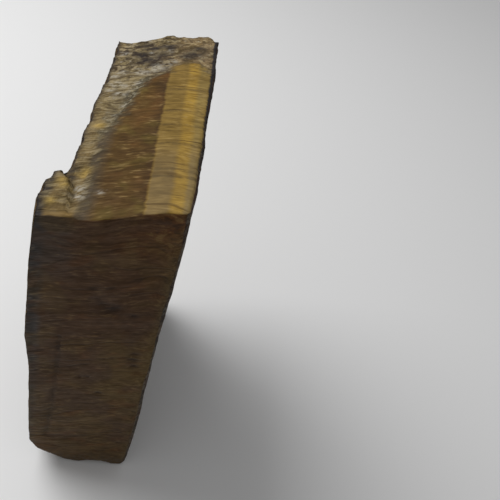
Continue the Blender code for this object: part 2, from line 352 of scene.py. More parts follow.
def side_of_line(line, x, y):
    """How far a point lies from the line, negative to the right of it."""
    line = np.array(line)
    point = np.stack([x, y], axis=1)
    nearest = np.full(len(x), 1e9)
    side = np.ones(len(x))
    for a, b in zip(line[:-1], line[1:]):
        run = b - a
        t = np.clip(((point - a) @ run) / (run @ run), 0.0, 1.0)
        gap = point - (a + t[:, None] * run)
        far = np.linalg.norm(gap, axis=1)
        turn = run[0] * gap[:, 1] - run[1] * gap[:, 0]
        closer = far < nearest
        nearest = np.where(closer, far, nearest)
        side = np.where(closer, np.sign(turn), side)
    return nearest * side


def put_in(thing):
    """Links a thing into the scene."""
    bpy.context.scene.collection.objects.link(thing)
    return thing


# The sheet of points


def rows(length, gap):
    """Places along one side, from 0 to its length: close at both edges and even between them."""
    edge = np.array((0.0, *EDGE_ROWS))
    count = round((length - 2 * EDGE_ROWS[-1]) / gap)
    inner = np.linspace(EDGE_ROWS[-1], length - EDGE_ROWS[-1], count + 1)[1:-1]
    return np.concatenate([edge, inner, length - edge[::-1]])


def sheet_tree(material):
    """Geometry Nodes: a box cut into even rows, with its counts as named inputs."""
    tree = bpy.data.node_groups.new("box_of_rows", "GeometryNodeTree")
    face = tree.interface
    for name in ROW_WAYS:
        face.new_socket(name, in_out="INPUT", socket_type="NodeSocketInt")
    face.new_socket("Sheet", in_out="OUTPUT", socket_type="NodeSocketGeometry")
    inputs = tree.nodes.new("NodeGroupInput")
    outputs = tree.nodes.new("NodeGroupOutput")
    box = tree.nodes.new("GeometryNodeMeshCube")
    realize = tree.nodes.new("GeometryNodeRealizeInstances")
    paint = tree.nodes.new("GeometryNodeSetMaterial")
    box.inputs["Size"].default_value = (1.0, 1.0, 1.0)
    paint.inputs["Material"].default_value = material
    for name, axis in zip(ROW_WAYS, "XYZ"):
        tree.links.new(inputs.outputs[name], box.inputs["Vertices " + axis])
    tree.links.new(box.outputs["Mesh"], realize.inputs["Geometry"])
    tree.links.new(realize.outputs["Geometry"], paint.inputs["Geometry"])
    tree.links.new(paint.outputs["Geometry"], outputs.inputs["Sheet"])
    return tree


def sheet_of_points(material):
    """The stone's object, a box cut into rows, and each point's place in a box of the block's size."""
    places = [rows(length, gap) for length, gap in zip(SIZE, ROW_GAPS)]
    tree = sheet_tree(material)
    maker = put_in(bpy.data.objects.new("sheet_maker", bpy.data.meshes.new("sheet_maker")))
    rule = maker.modifiers.new("rows", "NODES")
    rule.node_group = tree
    counts = dict(zip(ROW_WAYS, map(len, places)))
    for item in tree.interface.items_tree:
        if item.name in counts:
            rule[item.identifier] = counts[item.name]
    graph = bpy.context.evaluated_depsgraph_get()
    mesh = bpy.data.meshes.new_from_object(maker.evaluated_get(graph), depsgraph=graph)
    maker.modifiers.remove(rule)
    bpy.data.objects.remove(maker)
    mesh.name = "stone"
    unit = np.empty(len(mesh.vertices) * 3)
    mesh.vertices.foreach_get("co", unit)
    unit = unit.reshape(-1, 3) + 0.5
    box = np.empty_like(unit)
    for axis, along in enumerate(places):
        box[:, axis] = along[np.rint(unit[:, axis] * (len(along) - 1)).astype(int)]
    return put_in(bpy.data.objects.new("rough_stone", mesh)), box


def rounded(box):
    """The box with its edges rounded, more at the foot than at the top."""
    top, foot = EDGE_ROUND
    radius = (foot + (top - foot) * box[:, 2] / HEIGHT)[:, None]
    core = np.clip(box, radius, SIZE - radius)
    out = box - core
    return core + radius * out / np.maximum(np.linalg.norm(out, axis=1, keepdims=True), 1e-9)


# The faces of the block: each one's main form, then its fine relief


def fibre_place(x, y, z):
    """Millimetres across the seam, and the along and up places where a point's fibre leaves the left wall."""
    across = x - LEFT_FOOT - LEAN * z
    bend = KINK_ROUND * np.logaddexp(0.0, (across - KINK) / KINK_ROUND)
    along, up = (
        rise * across + (fall - rise) * bend for rise, fall in zip(FIBRE_RISE, FIBRE_FALL)
    )
    return across, y - along, z - up


def rind(y, z, seed):
    """The lumps and shallow pits of a rind wall."""
    large = lumps(0.0, y, z, (1, 24, 18), seed)
    small = lumps(0.0, y, z, (1, 8, 6), seed + 5.3) * (0.55 + large)
    pits = smooth_step(0.3, 0.6, lumps(0.0, y, z, (1, 7, 9), seed + 9.1))
    return RIND_LUMP * large + RIND_LUMP_SMALL * small - RIND_PIT * pits


def rind_relief(y, z, seed):
    """The knobs and grains of a rind wall."""
    knobs = np.abs(lumps(0.0, y, z, (1, 3.6, 3.0), seed + 1.7))
    grain = lumps(0.0, y, z, (1, 1.5, 1.4), seed + 2.9)
    blocks = steps(lumps(0.0, y, z, (1, 9, 7), seed + 4.4), 0.33)
    return RIND_BLOCK * blocks - RIND_KNOB * knobs + RIND_GRAIN * grain - WALL_WORN


def hackly(first, second, gap, tilt, seed):
    """Relief of a break across the fibres: flat facets about this far apart, each at its own tilt."""
    rng = np.random.default_rng(seed)
    count = int(DEPTH * HEIGHT / gap**2)
    sites = rng.uniform((FRONT, 0.0), (BACK, HEIGHT), (count, 2)).astype(np.float32)
    slopes = rng.normal(0.0, tilt, (count, 2)).astype(np.float32)
    apart = [at.astype(np.float32)[:, None] - sites[:, axis] for axis, at in enumerate((first, second))]
    far = apart[0] ** 2 + apart[1] ** 2
    share = np.exp((far.min(axis=1, keepdims=True) - far) / (FACET_BLEND * gap))
    height = apart[0] * slopes[:, 0] + apart[1] * slopes[:, 1]
    return np.sum(share * height, axis=1) / np.sum(share, axis=1)


def above_scar_foot(y, z):
    """1 on the scar of the left wall and 0 below the ragged ledge where it ends."""
    level = z + 5.0 * np.sin(y / 9.0) - 0.25 * y + layers(0.0, y, z, SCAR_RAGGED)
    return smooth_step(SCAR_FOOT - 1.2, SCAR_FOOT + 1.2, level)


def left_wall(y, z):
    """X of the left rind wall."""
    behind = smooth_step(FRONT, FRONT + EDGE_REACH[0], y)
    edge = along_line(LEFT_EDGE, z) * (1.0 - behind)
    high = above_scar_foot(y, z)
    down = np.clip((HEIGHT - z) / (HEIGHT - SCAR_FOOT), 0.0, 1.2)
    scar = along_line(LEFT_TOP, y - SCAR_SWEEP * down**2)
    scar = scar * high * (0.4 + 0.6 * smooth_step(SCAR_FOOT, 100.0, z))
    rough = (0.3 + 0.7 * (1.0 - high)) * behind + 0.1
    fine = (0.25 + 0.75 * behind) * rind_relief(y, z, RIND_SEEDS[0]) * (1.0 - 0.8 * high)
    below = 1.0 - smooth_step(HEIGHT - 9.0, HEIGHT, z)
    between = smooth_step(FRONT + 5.0, FRONT + 20.0, y) * smooth_step(BACK + 2.0, BACK - 6.0, y)
    broken = np.maximum(sum(hackly(y, z, *facets) for facets in FACETS), -FACET_PROUD)
    broken = broken * high * between * below
    return LEFT_FOOT + LEAN * z + edge + scar - rough * rind(y, z, RIND_SEEDS[0]) - fine + broken


def right_wall(y, z):
    """X of the right rind wall, which flares out towards the back."""
    behind = smooth_step(FRONT, FRONT + EDGE_REACH[1], y)
    edge = along_line(RIGHT_EDGE, z) * (1.0 - behind)
    flare = FLARE * np.sqrt(np.clip((y - FRONT) / DEPTH, 0.0, 1.0))
    low = 1.0 - 0.75 * smooth_step(84.0, 108.0, z)
    fine = (0.25 + 0.75 * behind * low) * rind_relief(y, z, RIND_SEEDS[1])
    rough = (behind * low + 0.1) * rind(y, z, RIND_SEEDS[1])
    return LEFT_FOOT + SEAM + LEAN * z + edge + flare + rough + fine


def front_face(x, z):
    """Y of the front, cut along the fibres: nearly flat, fullest under the middle of the top edge."""
    full = -FRONT_FULL * bump(x - TOP_WORN, WORN_WIDTH) * bump(z - HEIGHT, 14.0)
    return FRONT + full + layers(x, 0.0, z, FRONT_WAVE) + front_relief(x, z) + FRONT_WORN


def front_relief(x, z):
    """Ridges of fibre bundles, shallow steps between them, the crack and the pits."""
    across, _, up = fibre_place(x, FRONT, z)
    ridges = layers(across, 0.0, up, FRONT_RIDGES)
    shallow = steps(lumps(across, 0.0, up, (15, 1, 6), 35.1), 0.4)
    crack = bump(side_of_line(FRONT_CRACK, x, z), 0.45)
    pits = sum(spots_at(FRONT_PITS, PIT_STRETCH, x, z))
    cut_in = FRONT_CRACK_DEPTH * crack
    return FRONT_RIDGE * ridges + FRONT_STEP * shallow + cut_in + PIT_DEPTH * pits


def back_face(x, z):
    """Y of the back, broken along the fibres in ledges that step in towards the foot."""
    straight = x - LEAN * (z - HEIGHT)
    face = BACK + along_line(BACK_TOP, straight) * smooth_step(20.0, 104.0, z)
    wave = LEDGE_WAVE * lumps(x, 0.0, 0.0, (13, 1, 1), 6.1)
    for height, step in BACK_LEDGES:
        face = face - step * (1.0 - smooth_step(-LEDGE_ROUND, LEDGE_ROUND, z + wave - height))
    return face + layers(x, 0.0, z, BACK_ROUGH) + splinters(x, z, 41.2) - BACK_WORN


def splinters(across, other, seed):
    """Relief of a break along the fibres: long terraces, ridges and torn bundles."""
    terraces = steps(lumps(across, other, 0.0, (9, 4.2, 1), seed), 0.28)
    ridges = 0.5 - np.abs(lumps(across, other, 0.0, (7, 1.6, 1), seed + 3.3))
    torn = lumps(across, other, 0.0, (3.2, 0.9, 1), seed + 6.1)
    return BREAK_TERRACE * terraces + BREAK_RIDGE * ridges + BREAK_BUNDLE * torn


def top_face(x, y):
    """Z of the top: a flat cut, with a lower broken rim at its left and back."""
    past = side_of_line(CUT_LINE, x, y)
    rim = smooth_step(-0.2, 1.6, past)
    horn = smooth_step(0.3, -0.5, side_of_line(NOTCH_CRACK, x, y))
    horn = horn * smooth_step(HORN_BACK + 0.4, HORN_BACK - 0.4, y)
    groove = NOTCH_DEPTH * bump(y - NOTCH - 0.9 + 0.45 * (x + 2.0), 1.2) * smooth_step(3.0, -1.5, x)
    sag = TOP_SAG * bump(x - TOP_WORN, WORN_WIDTH) * bump(y - FRONT, 6.0)
    broken = layers(x, y, 0.0, TOP_ROUGH) - RIM_DROP - RIM_FALL * np.maximum(past, 0.0) - groove
    broken = broken + horn * (HORN_LEVEL - broken)
    broken = broken * rim * smooth_step(FRONT - 1.0, FRONT + 7.0, y)
    return HEIGHT + TOP_SLOPE * x - TOP_CUT - sag + broken + top_relief(x, y, past, rim)


def top_relief(x, y, past, rim):
    """Splinters on the rim, faint ridges on the cut, and the cracks between them."""
    across, along, _ = fibre_place(x, y, HEIGHT + TOP_SLOPE * x)
    ridges = layers(across, along, 0.0, TOP_RIDGES)
    seam = SEAM_DEPTH * bump(past, 0.5) * (0.5 + 0.5 * lumps(x, y, 0.0, (4, 4, 1), 55.0))
    crack = bump(side_of_line(NOTCH_CRACK, x, y), 0.6)
    torn = (0.25 + 0.75 * rim) * rim * RIM_SPLINTERS * splinters(across, along, 57.3)
    return CUT_RIDGE * ridges + torn - seam - crack


def block(box):
    """Carries each place in the box to the block. The second time round, the faces meet where they should."""
    across, along, up = (box / SIZE).T
    x = LEFT_FOOT + box[:, 0] + LEAN * box[:, 2]
    y = FRONT + box[:, 1]
    for _ in range(2):
        z = up * (HEIGHT + TOP_SLOPE * x)
        x = (1.0 - across) * left_wall(y, z) + across * right_wall(y, z)
        y = (1.0 - along) * front_face(x, z) + along * back_face(x, z)
    return np.stack([x, y, up * top_face(x, y)], axis=1)


def edge_chips():
    """The small chips of every worn edge, as the middles and radii of the balls that they fit."""
    rng = np.random.default_rng(CHIP_SEED)
    places, ways, depths = [], [], []
    for sides, count, deepest in WORN_EDGES:
        for at in rng.uniform(0.02, 0.98, count):
            places.append([at if side is None else side for side in sides] * SIZE)
            ways.append([0.0 if side is None else 2.0 * side - 1.0 for side in sides])
            depths.append(deepest * rng.uniform(0.25, 1.0))
    ways = np.array(ways) + rng.uniform(-CHIP_TILT, CHIP_TILT, (len(ways), 3))
    ways /= np.linalg.norm(ways, axis=1, keepdims=True)
    radii = rng.uniform(*CHIP_RADIUS, len(ways))
    reach = radii - np.array(depths)
    return block(np.array(places)) + ways * reach[:, None], radii


def chipped(points):
    """Planes off the flat chips and presses in the hollow ones, and keeps the foot on the ground."""
    for place, facing in CHIPS:
        facing = np.array(facing) / np.linalg.norm(facing)
        proud = np.maximum((points - place) @ facing, 0.0)
        points = points - CHIP_SHARE * proud[:, None] * facing
    for place, facing, radius in SCOOPS:
        middle = np.array(place) + radius * np.array(facing) / np.linalg.norm(facing)
        points = pressed(points, middle, radius)
    for middle, radius in zip(*edge_chips()):
        points = pressed(points, middle, radius)
    points[:, 2] = np.maximum(points[:, 2], 0.0)
    return points


def pressed(points, middle, radius):
    """Pushes the points inside a ball out onto it."""
    out = points - middle
    far = np.linalg.norm(out, axis=1, keepdims=True)
    return np.where(far < radius, middle + out * radius / np.maximum(far, 1e-6), points)


def make_stone():
    stone, box = sheet_of_points(stone_material())
    points = chipped(block(rounded(box)))
    stone.data.vertices.foreach_set("co", (points * MM).ravel())
    stone.data.update()
    stone.data.shade_smooth()
    mark_places(stone.data, box, points)
    return stone


def mark_places(mesh, box, points):
    """Stores on each point what the finish needs to know of its place on the block."""
    x, y, z = points.T
    left, front, foot = (box < ON_FACE).T
    right, back, top = (box > SIZE - ON_FACE).T
    high = above_scar_foot(y, z)
    past = layers(x, y, z, CUT_RAGGED, side_of_line(CUT_LINE, x, y))
    rim = smooth_step(-1.1, 0.7, past) * smooth_step(FRONT, FRONT + 4.0, y)
    border = bump(past - 1.1, 1.3) * smooth_step(-16.0, -4.0, y) * smooth_step(20.0, 16.0, y)
    pits = sum(spots_at(FRONT_PITS, PIT_STRETCH, x, z))
    cracks = np.maximum(0.6 * bump(side_of_line(FRONT_CRACK, x, z), 0.8), 0.9 * pits)
    marks = {
        "rind": np.maximum(left * (1.0 - high), right),
        "scar": left * high,
        "torn": np.maximum(back, top * rim),
        "back": back.astype(float),
        "front": (front | foot).astype(float),
        "relief": relief_of(mesh, points),
        "border": top * border,
        "crack": np.maximum(front * cracks, top * top_cracks(past, points)),
    }
    # Pale spots, spots of painted shade in the rim's hollows, and bright gold spots of painted sheen, all on
    # the top.
    for name, spots in (("pale", PALE_SPOTS), ("dark", SHADE_SPOTS), ("painted_sheen", SHEEN_SPOTS)):
        marks[name] = top * np.maximum.reduce(spots_at(spots, SPOT_STRETCH[name], x, y))
    brink = top * bump(box[:, 0], BRINK)
    # The dark mark holds painted shade in the rim's hollows, besides the rind's dark line along the rim and
    # the front's pits.
    marks["dark"] = np.maximum.reduce([marks["dark"], brink, 0.75 * front * np.minimum(pits, 1.0)])
    for name, values in marks.items():
        store = mesh.attributes.new(name, "FLOAT", "POINT")
        store.data.foreach_set("value", values)
    for name, places in (("fibre", np.stack(fibre_place(x, y, z), axis=1)), ("millimetres", points)):
        store = mesh.attributes.new(name, "FLOAT_VECTOR", "POINT")
        store.data.foreach_set("vector", places.ravel())


def top_cracks(past, points):
    """The dark line between cut and rim, the notch's crack, and the darkest arcs across the gold."""
    x, y, z = points.T
    seam = np.maximum(0.6 * bump(past + 0.2, 0.9), bump(side_of_line(NOTCH_CRACK, x, y), 0.85))
    across, along, _ = fibre_place(x, y, z)
    arcs = np.maximum.reduce([bump(along - at, ARC_WIDTH) for at in LONG_ARCS])
    return np.maximum(seam, 0.6 * arcs * smooth_step(20.4, 21.8, across))


def relief_of(mesh, points):
    """How far each point stands out of its surroundings, in millimetres."""
    ends = np.empty(len(mesh.edges) * 2, dtype=np.int32)
    mesh.edges.foreach_get("vertices", ends)
    ends = ends.reshape(-1, 2)
    normals = np.empty(len(points) * 3)
    mesh.vertex_normals.foreach_get("vector", normals)
    count = len(points)
    degree = np.bincount(ends.ravel(), minlength=count)
    soft = points.copy()
    for _ in range(SOFTENING):
        for axis in range(3):
            near = np.bincount(ends[:, 0], soft[ends[:, 1], axis], count)
            near += np.bincount(ends[:, 1], soft[ends[:, 0], axis], count)
            soft[:, axis] = near / degree
    return np.sum((points - soft) * normals.reshape(-1, 3), axis=1)


# The finish


def feed(tree, node, inputs):
    """Gives a node its inputs, each a value or another node's output, and returns its outputs."""
    for socket, value in dict(inputs).items():
        if isinstance(value, bpy.types.NodeSocket):
            tree.links.new(value, node.inputs[socket])
        else:
            node.inputs[socket].default_value = value
    return node.outputs


def add(tree, kind, inputs=(), out=0, **settings):
    """Places a shader node with these settings and inputs, and gives one of its outputs."""
    node = tree.nodes.new("ShaderNode" + kind)
    for name, value in settings.items():
        setattr(node, name, value)
    return feed(tree, node, inputs)[out]


def parts_of(tree, vector, axes):
    """The parts of a vector along these axes."""
    return [add(tree, "SeparateXYZ", {0: vector}, out=axis) for axis in axes]


def sum_of(tree, operation, first, second=0.0, third=0.0):
    return add(tree, "Math", {0: first, 1: second, 2: third}, operation=operation)


def mask(tree, value, low, high):
    """A soft step of a value, from 0 at low to 1 at high."""
    ends = {"Value": value, "From Min": low, "From Max": high}
    return add(tree, "MapRange", ends, interpolation_type="SMOOTHSTEP")


def where(tree, *ranges):
    """1 where each value has gone from its low to its high, and 0 where any has not."""
    share = mask(tree, *ranges[0])
    for one in ranges[1:]:
        share = both(tree, share, mask(tree, *one))
    return share


def both(tree, first, second):
    return sum_of(tree, "MULTIPLY", first, second)


def blend(tree, share, under, over, how="MIX"):
    """One colour over another, by a share from 0 to 1."""
    inputs = {0: share, 6: as_colour(under), 7: as_colour(over)}
    return add(tree, "Mix", inputs, out=2, data_type="RGBA", blend_type=how)


def tinted(tree, colour, tint, value, low, high, share):
    """A colour with a share of a tint laid on it where a value has gone from low to high."""
    return blend(tree, both(tree, mask(tree, value, low, high), share), colour, tint)


def as_colour(colour):
    """A socket as it is, or a colour from 0 to 255 turned to Blender's linear one."""
    if isinstance(colour, bpy.types.NodeSocket):
        return colour
    parts = (c / 255.0 for c in colour)
    return (*(c / 12.92 if c <= 0.04045 else ((c + 0.055) / 1.055) ** 2.4 for c in parts), 1.0)


def mark_of(tree, name, out="Fac"):
    return add(tree, "Attribute", out=out, attribute_name=name)


def grain(tree, place, size, detail=2.0, roughness=0.5):
    """Noise from 0 to 1 whose bumps are about this size along each axis."""
    scaled = add(tree, "VectorMath", {0: place, 1: [1.0 / s for s in size]}, operation="MULTIPLY")
    look = {"Vector": scaled, "Scale": 1.0, "Detail": detail, "Roughness": roughness}
    return add(tree, "TexNoise", look)


def bands(tree, place, stops):
    """The colours of the seam by the place across it."""
    share = sum_of(tree, "DIVIDE", place, BAND_SPAN)
    ramp = tree.nodes.new("ShaderNodeValToRGB")
    tree.links.new(share, ramp.inputs["Fac"])
    line = ramp.color_ramp
    while len(line.elements) < len(stops):
        line.elements.new(0.5)
    for stop, (at, colour) in zip(line.elements, stops):
        stop.position = at / BAND_SPAN
    for stop, (at, colour) in zip(line.elements, stops):
        stop.color = as_colour(colour)
    return ramp.outputs["Color"]


def group_tree(name, inputs, outputs):
    """An empty node group with named sockets, and its input and output nodes' sockets."""
    tree = bpy.data.node_groups.new(name, "ShaderNodeTree")
    for names, way in ((inputs, "INPUT"), (outputs, "OUTPUT")):
        for socket, kind in names:
            tree.interface.new_socket(socket, in_out=way, socket_type="NodeSocket" + kind)
    return tree, tree.nodes.new("NodeGroupInput").outputs, tree.nodes.new("NodeGroupOutput").inputs


def swayed(tree, fibre):
    """The fibres' places pushed a little aside and back, so that no fibre runs quite straight."""
    sway = both(tree, sum_of(tree, "SUBTRACT", grain(tree, fibre, (11.0, 7.0, 7.0), 1.0), 0.5), FIBRE_SWAY)
    aside = add(tree, "CombineXYZ", {1: sway, 2: sway})
    return add(tree, "VectorMath", {0: fibre, 1: aside}, operation="ADD")


def fibre_streaks():
    """Node group: the tone of the fibre bundles, their pale flecks, and dark arcs across the seam."""
    outputs = (("Tone", "Float"), ("Flecks", "Float"), ("Arcs", "Float"))
    tree, given, result = group_tree("fibre_streaks", (("Fibre", "Vector"), ("Arc Gap", "Float")), outputs)
    fibre = given["Fibre"]
    bundle = grain(tree, fibre, (9.0, 1.7, 1.7), 1.0, 0.5)
    dash = grain(tree, fibre, (3.2, 0.72, 0.72), 2.0, 0.6)
    fine = grain(tree, fibre, (2.4, 0.36, 0.36), 1.0, 0.5)
    tone = sum_of(tree, "ADD", both(tree, bundle, 0.3), both(tree, dash, 0.4))
    tone = sum_of(tree, "ADD", tone, both(tree, fine, 0.3))
    torn = mask(tree, grain(tree, fibre, (6.0, 3.0, 3.0), 1.0), 0.38, 0.6)
    flecks = both(tree, mask(tree, dash, 0.53, 0.68), torn)
    along, up = parts_of(tree, fibre, "YZ")
    level_up = sum_of(tree, "ADD", both(tree, along, 0.8), both(tree, up, 0.6))
    uneven = both(tree, grain(tree, fibre, (24.0, 4.0, 4.0), 1.0), 2.6)
    count = sum_of(tree, "ADD", sum_of(tree, "DIVIDE", level_up, given["Arc Gap"]), uneven)
    which = sum_of(tree, "ROUND", count)
    away = sum_of(tree, "ABSOLUTE", sum_of(tree, "SUBTRACT", count, which))
    strength = add(tree, "TexWhiteNoise", {"W": which}, noise_dimensions="1D")
    arcs = both(tree, mask(tree, away, 0.24, 0.06), both(tree, strength, strength))
    arcs = both(tree, arcs, mask(tree, grain(tree, fibre, (5.0, 2.0, 2.0), 1.0), 0.3, 0.52))
    for name, value in (("Tone", tone), ("Flecks", flecks), ("Arcs", arcs)):
        tree.links.new(value, result[name])
    return tree


def use_group(tree, group, inputs):
    """Places a node group and gives its outputs."""
    node = tree.nodes.new("ShaderNodeGroup")
    node.node_tree = group
    return feed(tree, node, inputs)


def rind_look():
    """Node group: the crust of the walls, charcoal with rust in patches and pale dust in specks, a little
    more of it on the raised grains.
    """
    inputs = (("Place", "Vector"), ("Relief", "Float"))
    tree, given, result = group_tree("rind_look", inputs, (("Colour", "Color"),))
    place = given["Place"]
    patches = grain(tree, place, (9.0, 9.0, 9.0), 4.0, 0.6)
    stains = grain(tree, place, (3.4, 3.4, 3.4), 4.0, 0.65)
    speck = grain(tree, place, (1.1, 1.1, 1.1), 3.0, 0.6)
    colour = blend(tree, mask(tree, patches, 0.4, 0.66), RIND, RIND_RED)
    colour = tinted(tree, colour, RIND_RUST, stains, 0.54, 0.68, 0.8)
    dusty = where(tree, (speck, 0.5, 0.72), (grain(tree, place, (5.0, 5.0, 5.0)), 0.4, 0.7))
    colour = blend(tree, both(tree, dusty, 0.55), colour, RIND_DUST)
    colour = tinted(tree, colour, RIND_DUST, given["Relief"], 0.02, 0.2, 0.15)
    tone = level(tree, speck, 0.3, 0.7, 0.7, 1.3)
    tree.links.new(blend(tree, 1.0, colour, grey(tree, tone), "MULTIPLY"), result["Colour"])
    return tree


def grey(tree, value):
    return add(tree, "CombineColor", {0: value, 1: value, 2: value})


def level(tree, value, low, high, to_low, to_high):
    """A value stretched in a straight line from one range to another, and held at its ends."""
    ends = {"Value": value, "From Min": low, "From Max": high, "To Min": to_low, "To Max": to_high}
    return add(tree, "MapRange", ends)


def cut_top(tree, at, streaks):
    """The cut face of the top: bands across the seam whose golds are partly painted sheen, warmer and greener
    in patches, with flecks and arcs.
    """
    middle = where(tree, (at.across, 10.0, 13.0), (at.across, 21.2, 20.6))
    colour = bands(tree, at.banded, TOP_BANDS)
    broad = grain(tree, at.fibre, (24.0, 4.0, 4.0), 1.0)
    deeper = where(tree, (broad, 0.52, 0.4), (at.banded, 24.0, 26.0))
    colour = blend(tree, both(tree, deeper, 0.35), colour, PALE_GOLD)
    patches = grain(tree, at.fibre, (7.0, 6.0, 6.0), 2.0, 0.5)
    warm = both(tree, mask(tree, patches, 0.5, 0.7), both(tree, middle, 0.6))
    green = both(tree, mask(tree, patches, 0.5, 0.34), both(tree, middle, 0.7))
    colour = blend(tree, green, blend(tree, warm, colour, RUSSET), OLIVE)
    colour = blend(tree, both(tree, streaks["Flecks"], 0.5), colour, FLECK)
    colour = toned(tree, colour, streaks["Tone"], 0.36)
    colour = toned(tree, colour, grain(tree, at.fibre, (8.0, 5.0, 5.0), 2.0, 0.5), 0.12)
    gold = mask(tree, at.banded, 20.8, 21.4)
    strip = where(tree, (at.banded, 25.0, 26.4), (at.banded, 29.0, 28.2))
    dull = both(tree, gold, mask(tree, at.deep, -8.0, -26.0))
    dull = both(tree, dull, level(tree, strip, 0.0, 1.0, 0.45, 0.12))
    colour = blend(tree, dull, colour, LOW_TAN)
    arcs = both(tree, streaks["Arcs"], level(tree, gold, 0.0, 1.0, 0.4, 1.0))
    return blend(tree, arcs, colour, RED_BROWN)


def toned(tree, colour, tone, strength):
    """A colour made lighter, or darker and warmer, by the tone of the fibres."""
    parts = {
        channel: level(tree, tone, *TONES, 1.0 - strength * more, 1.0 + strength)
        for channel, more in enumerate(WARMTH)
    }
    return blend(tree, 1.0, colour, add(tree, "CombineColor", parts), "MULTIPLY")


def front_in_painted_shade(tree, at, streaks):
    """The front: a darker copy of the seam's colours in painted shade, without the top's painted gold sheen;
    brown, greener towards the foot and rusty at the top right.
    """
    colour = bands(tree, at.banded, SHADED_FRONT_BANDS)
    colour = tinted(tree, colour, FRONT_OLIVE, at.up, 75.0, 20.0, 0.6)
    rusty = where(tree, (at.up, 90.0, 104.0), (at.across, 16.0, 27.0))
    colour = blend(tree, both(tree, rusty, 0.8), colour, FRONT_RUST)
    spots = grain(tree, at.fibre, (3.0, 1.6, 1.6), 3.0, 0.6)
    pale = both(tree, rusty, both(tree, mask(tree, spots, 0.52, 0.66), 0.36))
    dark = both(tree, rusty, both(tree, mask(tree, spots, 0.5, 0.38), 0.5))
    colour = blend(tree, dark, blend(tree, pale, colour, FLECK), CRACK)
    golden = where(tree, (at.up, 28.0, 40.0), (at.up, 74.0, 58.0), (at.across, 15.0, 21.0))
    colour = blend(tree, both(tree, golden, 0.6), colour, FRONT_GOLD)
    dusky = where(tree, (at.up, 86.0, 98.0), (at.across, 10.0, 5.0))
    colour = blend(tree, both(tree, dusky, 0.5), colour, FRONT_EDGE)
    patches = grain(tree, at.fibre, (7.0, 4.0, 4.0), 2.0, 0.5)
    colour = tinted(tree, colour, FRONT_RUST, patches, 0.5, 0.7, 0.4)
    clouds = grain(tree, at.fibre, (9.0, 9.0, 9.0), 1.0, 0.5)
    colour = tinted(tree, colour, FRONT_ROSE, clouds, 0.5, 0.64, 0.5)
    colour = tinted(tree, colour, FRONT_GOLD, clouds, 0.46, 0.34, 0.3)
    colour = blend(tree, both(tree, streaks["Flecks"], 0.14), colour, FLECK)
    colour = blend(tree, both(tree, streaks["Arcs"], 0.4), colour, CRACK)
    return toned(tree, colour, streaks["Tone"], 0.34)


def bundle_ends(tree, place):
    """The fibre bundles seen end on: the tone of each, and how far a point is from the gap beside it."""
    push = add(tree, "TexNoise", {"Vector": place, "Scale": 0.45, "Detail": 2.0}, out="Color")
    pushed = add(tree, "VectorMath", {0: push, 1: (4.0, 4.0, 4.0), 2: place}, operation="MULTIPLY_ADD")
    cells = {"Vector": pushed, "Scale": 1.0 / BUNDLE}
    tone = add(tree, "SeparateColor", {0: add(tree, "TexVoronoi", cells, out="Color")})
    return tone, add(tree, "TexVoronoi", cells, feature="DISTANCE_TO_EDGE")


def scarred_wall(tree, at, crust, ends, gaps):
    """Where the flake is gone: the brown ends of the fibre bundles, with patches of crust still on them."""
    patches = grain(tree, at.place, (9.0, 11.0, 11.0), 4.0, 0.6)
    grains = grain(tree, at.place, (1.0, 1.0, 1.0), 3.0, 0.65)
    colour = blend(tree, mask(tree, patches, 0.34, 0.66), SCAR, SCAR_LIGHT)
    colour = tinted(tree, colour, SCAR_GOLD, ends, 0.45, 1.0, 0.35)
    colour = tinted(tree, colour, SCAR, ends, 0.5, 0.0, 0.4)
    colour = tinted(tree, colour, CRACK, gaps, 0.14, 0.0, 0.5)
    left_on = mask(tree, grain(tree, at.place, (12.0, 13.0, 9.0), 4.0, 0.6), 0.56, 0.64)
    colour = blend(tree, left_on, colour, crust)
    # Painted shade: darker where the scar lies below its surroundings.
    colour = tinted(tree, colour, CRACK, at.relief, -0.02, -0.2, 0.7)
    colour = tinted(tree, colour, TORN_BROWN, at.relief, 0.02, 0.25, 0.4)
    return toned(tree, colour, grains, 0.3)


def torn_side(tree, at):
    """The broken rim at the left: streaks of tan and brown along the fibres."""
    streak = grain(tree, at.fibre, (6.0, 0.9, 0.9), 2.0, 0.6)
    side = blend(tree, mask(tree, streak, 0.41, 0.54), TORN_BROWN, TORN_TAN)
    return tinted(tree, side, TORN_LIGHT, streak, 0.52, 0.62, 0.9)


def torn_rear(tree, at):
    """The broken stone towards the back: a darker mottle, rosy at the right, with light and dark dots."""
    mottle = grain(tree, at.place, (3.6, 2.2, 2.6), 3.0, 0.65)
    rear = blend(tree, mask(tree, mottle, 0.4, 0.62), TORN_DARK, TORN_TAN)
    rosy = both(tree, mask(tree, at.right, 12.0, 18.0), 0.7)
    rear = blend(tree, rosy, rear, blend(tree, mask(tree, mottle, 0.4, 0.56), TORN_BROWN, TORN_ROSE))
    dots = grain(tree, at.place, (2.2, 1.5, 1.5), 1.0)
    rear = tinted(tree, rear, TORN_LIGHT, dots, 0.55, 0.66, 0.9)
    return tinted(tree, rear, TORN_DARK, dots, 0.46, 0.34, 0.6)


